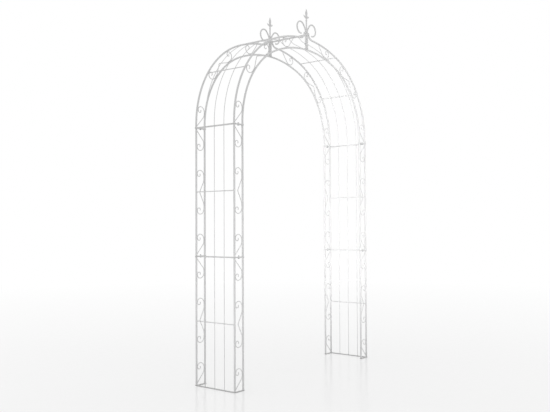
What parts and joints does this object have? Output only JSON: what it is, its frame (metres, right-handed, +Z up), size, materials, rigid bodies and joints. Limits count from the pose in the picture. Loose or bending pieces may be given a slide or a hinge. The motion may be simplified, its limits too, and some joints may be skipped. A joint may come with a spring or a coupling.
{
  "type": "garden rose arch",
  "caption": "Free-standing welded metal rose arch with lattice legs, scroll work between its tubes and looped spear finials over the crown.",
  "frame": {"origin": "on the ground, midway between the legs and between the faces", "axes": "+X across the passage to the right leg, +Y through the passage, +Z up"},
  "size_m": [1.482, 0.3308, 2.4561],
  "materials": {
    "white_coat": "satin white powder coat on mild steel tube and rod",
    "zinc_plate": "dull zinc plate on bolts and nuts"
  },
  "bodies": {
    "root": {"back_apex_bolt": "zinc_plate", "back_apex_nut": "zinc_plate", "back_spear": "white_coat", "front_apex_bolt": "zinc_plate", "front_apex_nut": "zinc_plate", "front_spear": "white_coat", "left_arch_back_inner_tube": "white_coat", "left_arch_back_lower_scroll": "white_coat", "left_arch_back_middle_scroll": "white_coat", "left_arch_back_outer_tube": "white_coat", "left_arch_back_upper_scroll": "white_coat", "left_arch_front_inner_tube": "white_coat", "left_arch_front_lower_scroll": "white_coat", "left_arch_front_middle_scroll": "white_coat", "left_arch_front_outer_tube": "white_coat", "left_arch_front_upper_scroll": "white_coat", "left_arch_lattice": "white_coat", "left_back_apex_post": "white_coat", "left_front_apex_post": "white_coat", "left_lower_back_inner_upright": "white_coat", "left_lower_back_joint_bolt": "zinc_plate", "left_lower_back_outer_upright": "white_coat", "left_lower_front_inner_upright": "white_coat", "left_lower_front_joint_bolt": "zinc_plate", "left_lower_front_outer_upright": "white_coat", "left_lower_lattice": "white_coat", "left_upper_back_inner_upright": "white_coat", "left_upper_back_joint_bolt": "zinc_plate", "left_upper_back_outer_upright": "white_coat", "left_upper_front_inner_upright": "white_coat", "left_upper_front_joint_bolt": "zinc_plate", "left_upper_front_outer_upright": "white_coat", "left_upper_lattice": "white_coat", "right_arch_back_inner_tube": "white_coat", "right_arch_back_lower_scroll": "white_coat", "right_arch_back_middle_scroll": "white_coat", "right_arch_back_outer_tube": "white_coat", "right_arch_back_upper_scroll": "white_coat", "right_arch_front_inner_tube": "white_coat", "right_arch_front_lower_scroll": "white_coat", "right_arch_front_middle_scroll": "white_coat", "right_arch_front_outer_tube": "white_coat", "right_arch_front_upper_scroll": "white_coat", "right_arch_lattice": "white_coat", "right_back_apex_post": "white_coat", "right_front_apex_post": "white_coat", "right_lower_back_inner_upright": "white_coat", "right_lower_back_joint_bolt": "zinc_plate", "right_lower_back_outer_upright": "white_coat", "right_lower_front_inner_upright": "white_coat", "right_lower_front_joint_bolt": "zinc_plate", "right_lower_front_outer_upright": "white_coat", "right_lower_lattice": "white_coat", "right_upper_back_inner_upright": "white_coat", "right_upper_back_joint_bolt": "zinc_plate", "right_upper_back_outer_upright": "white_coat", "right_upper_front_inner_upright": "white_coat", "right_upper_front_joint_bolt": "zinc_plate", "right_upper_front_outer_upright": "white_coat", "right_upper_lattice": "white_coat"}
  },
  "joints": []
}
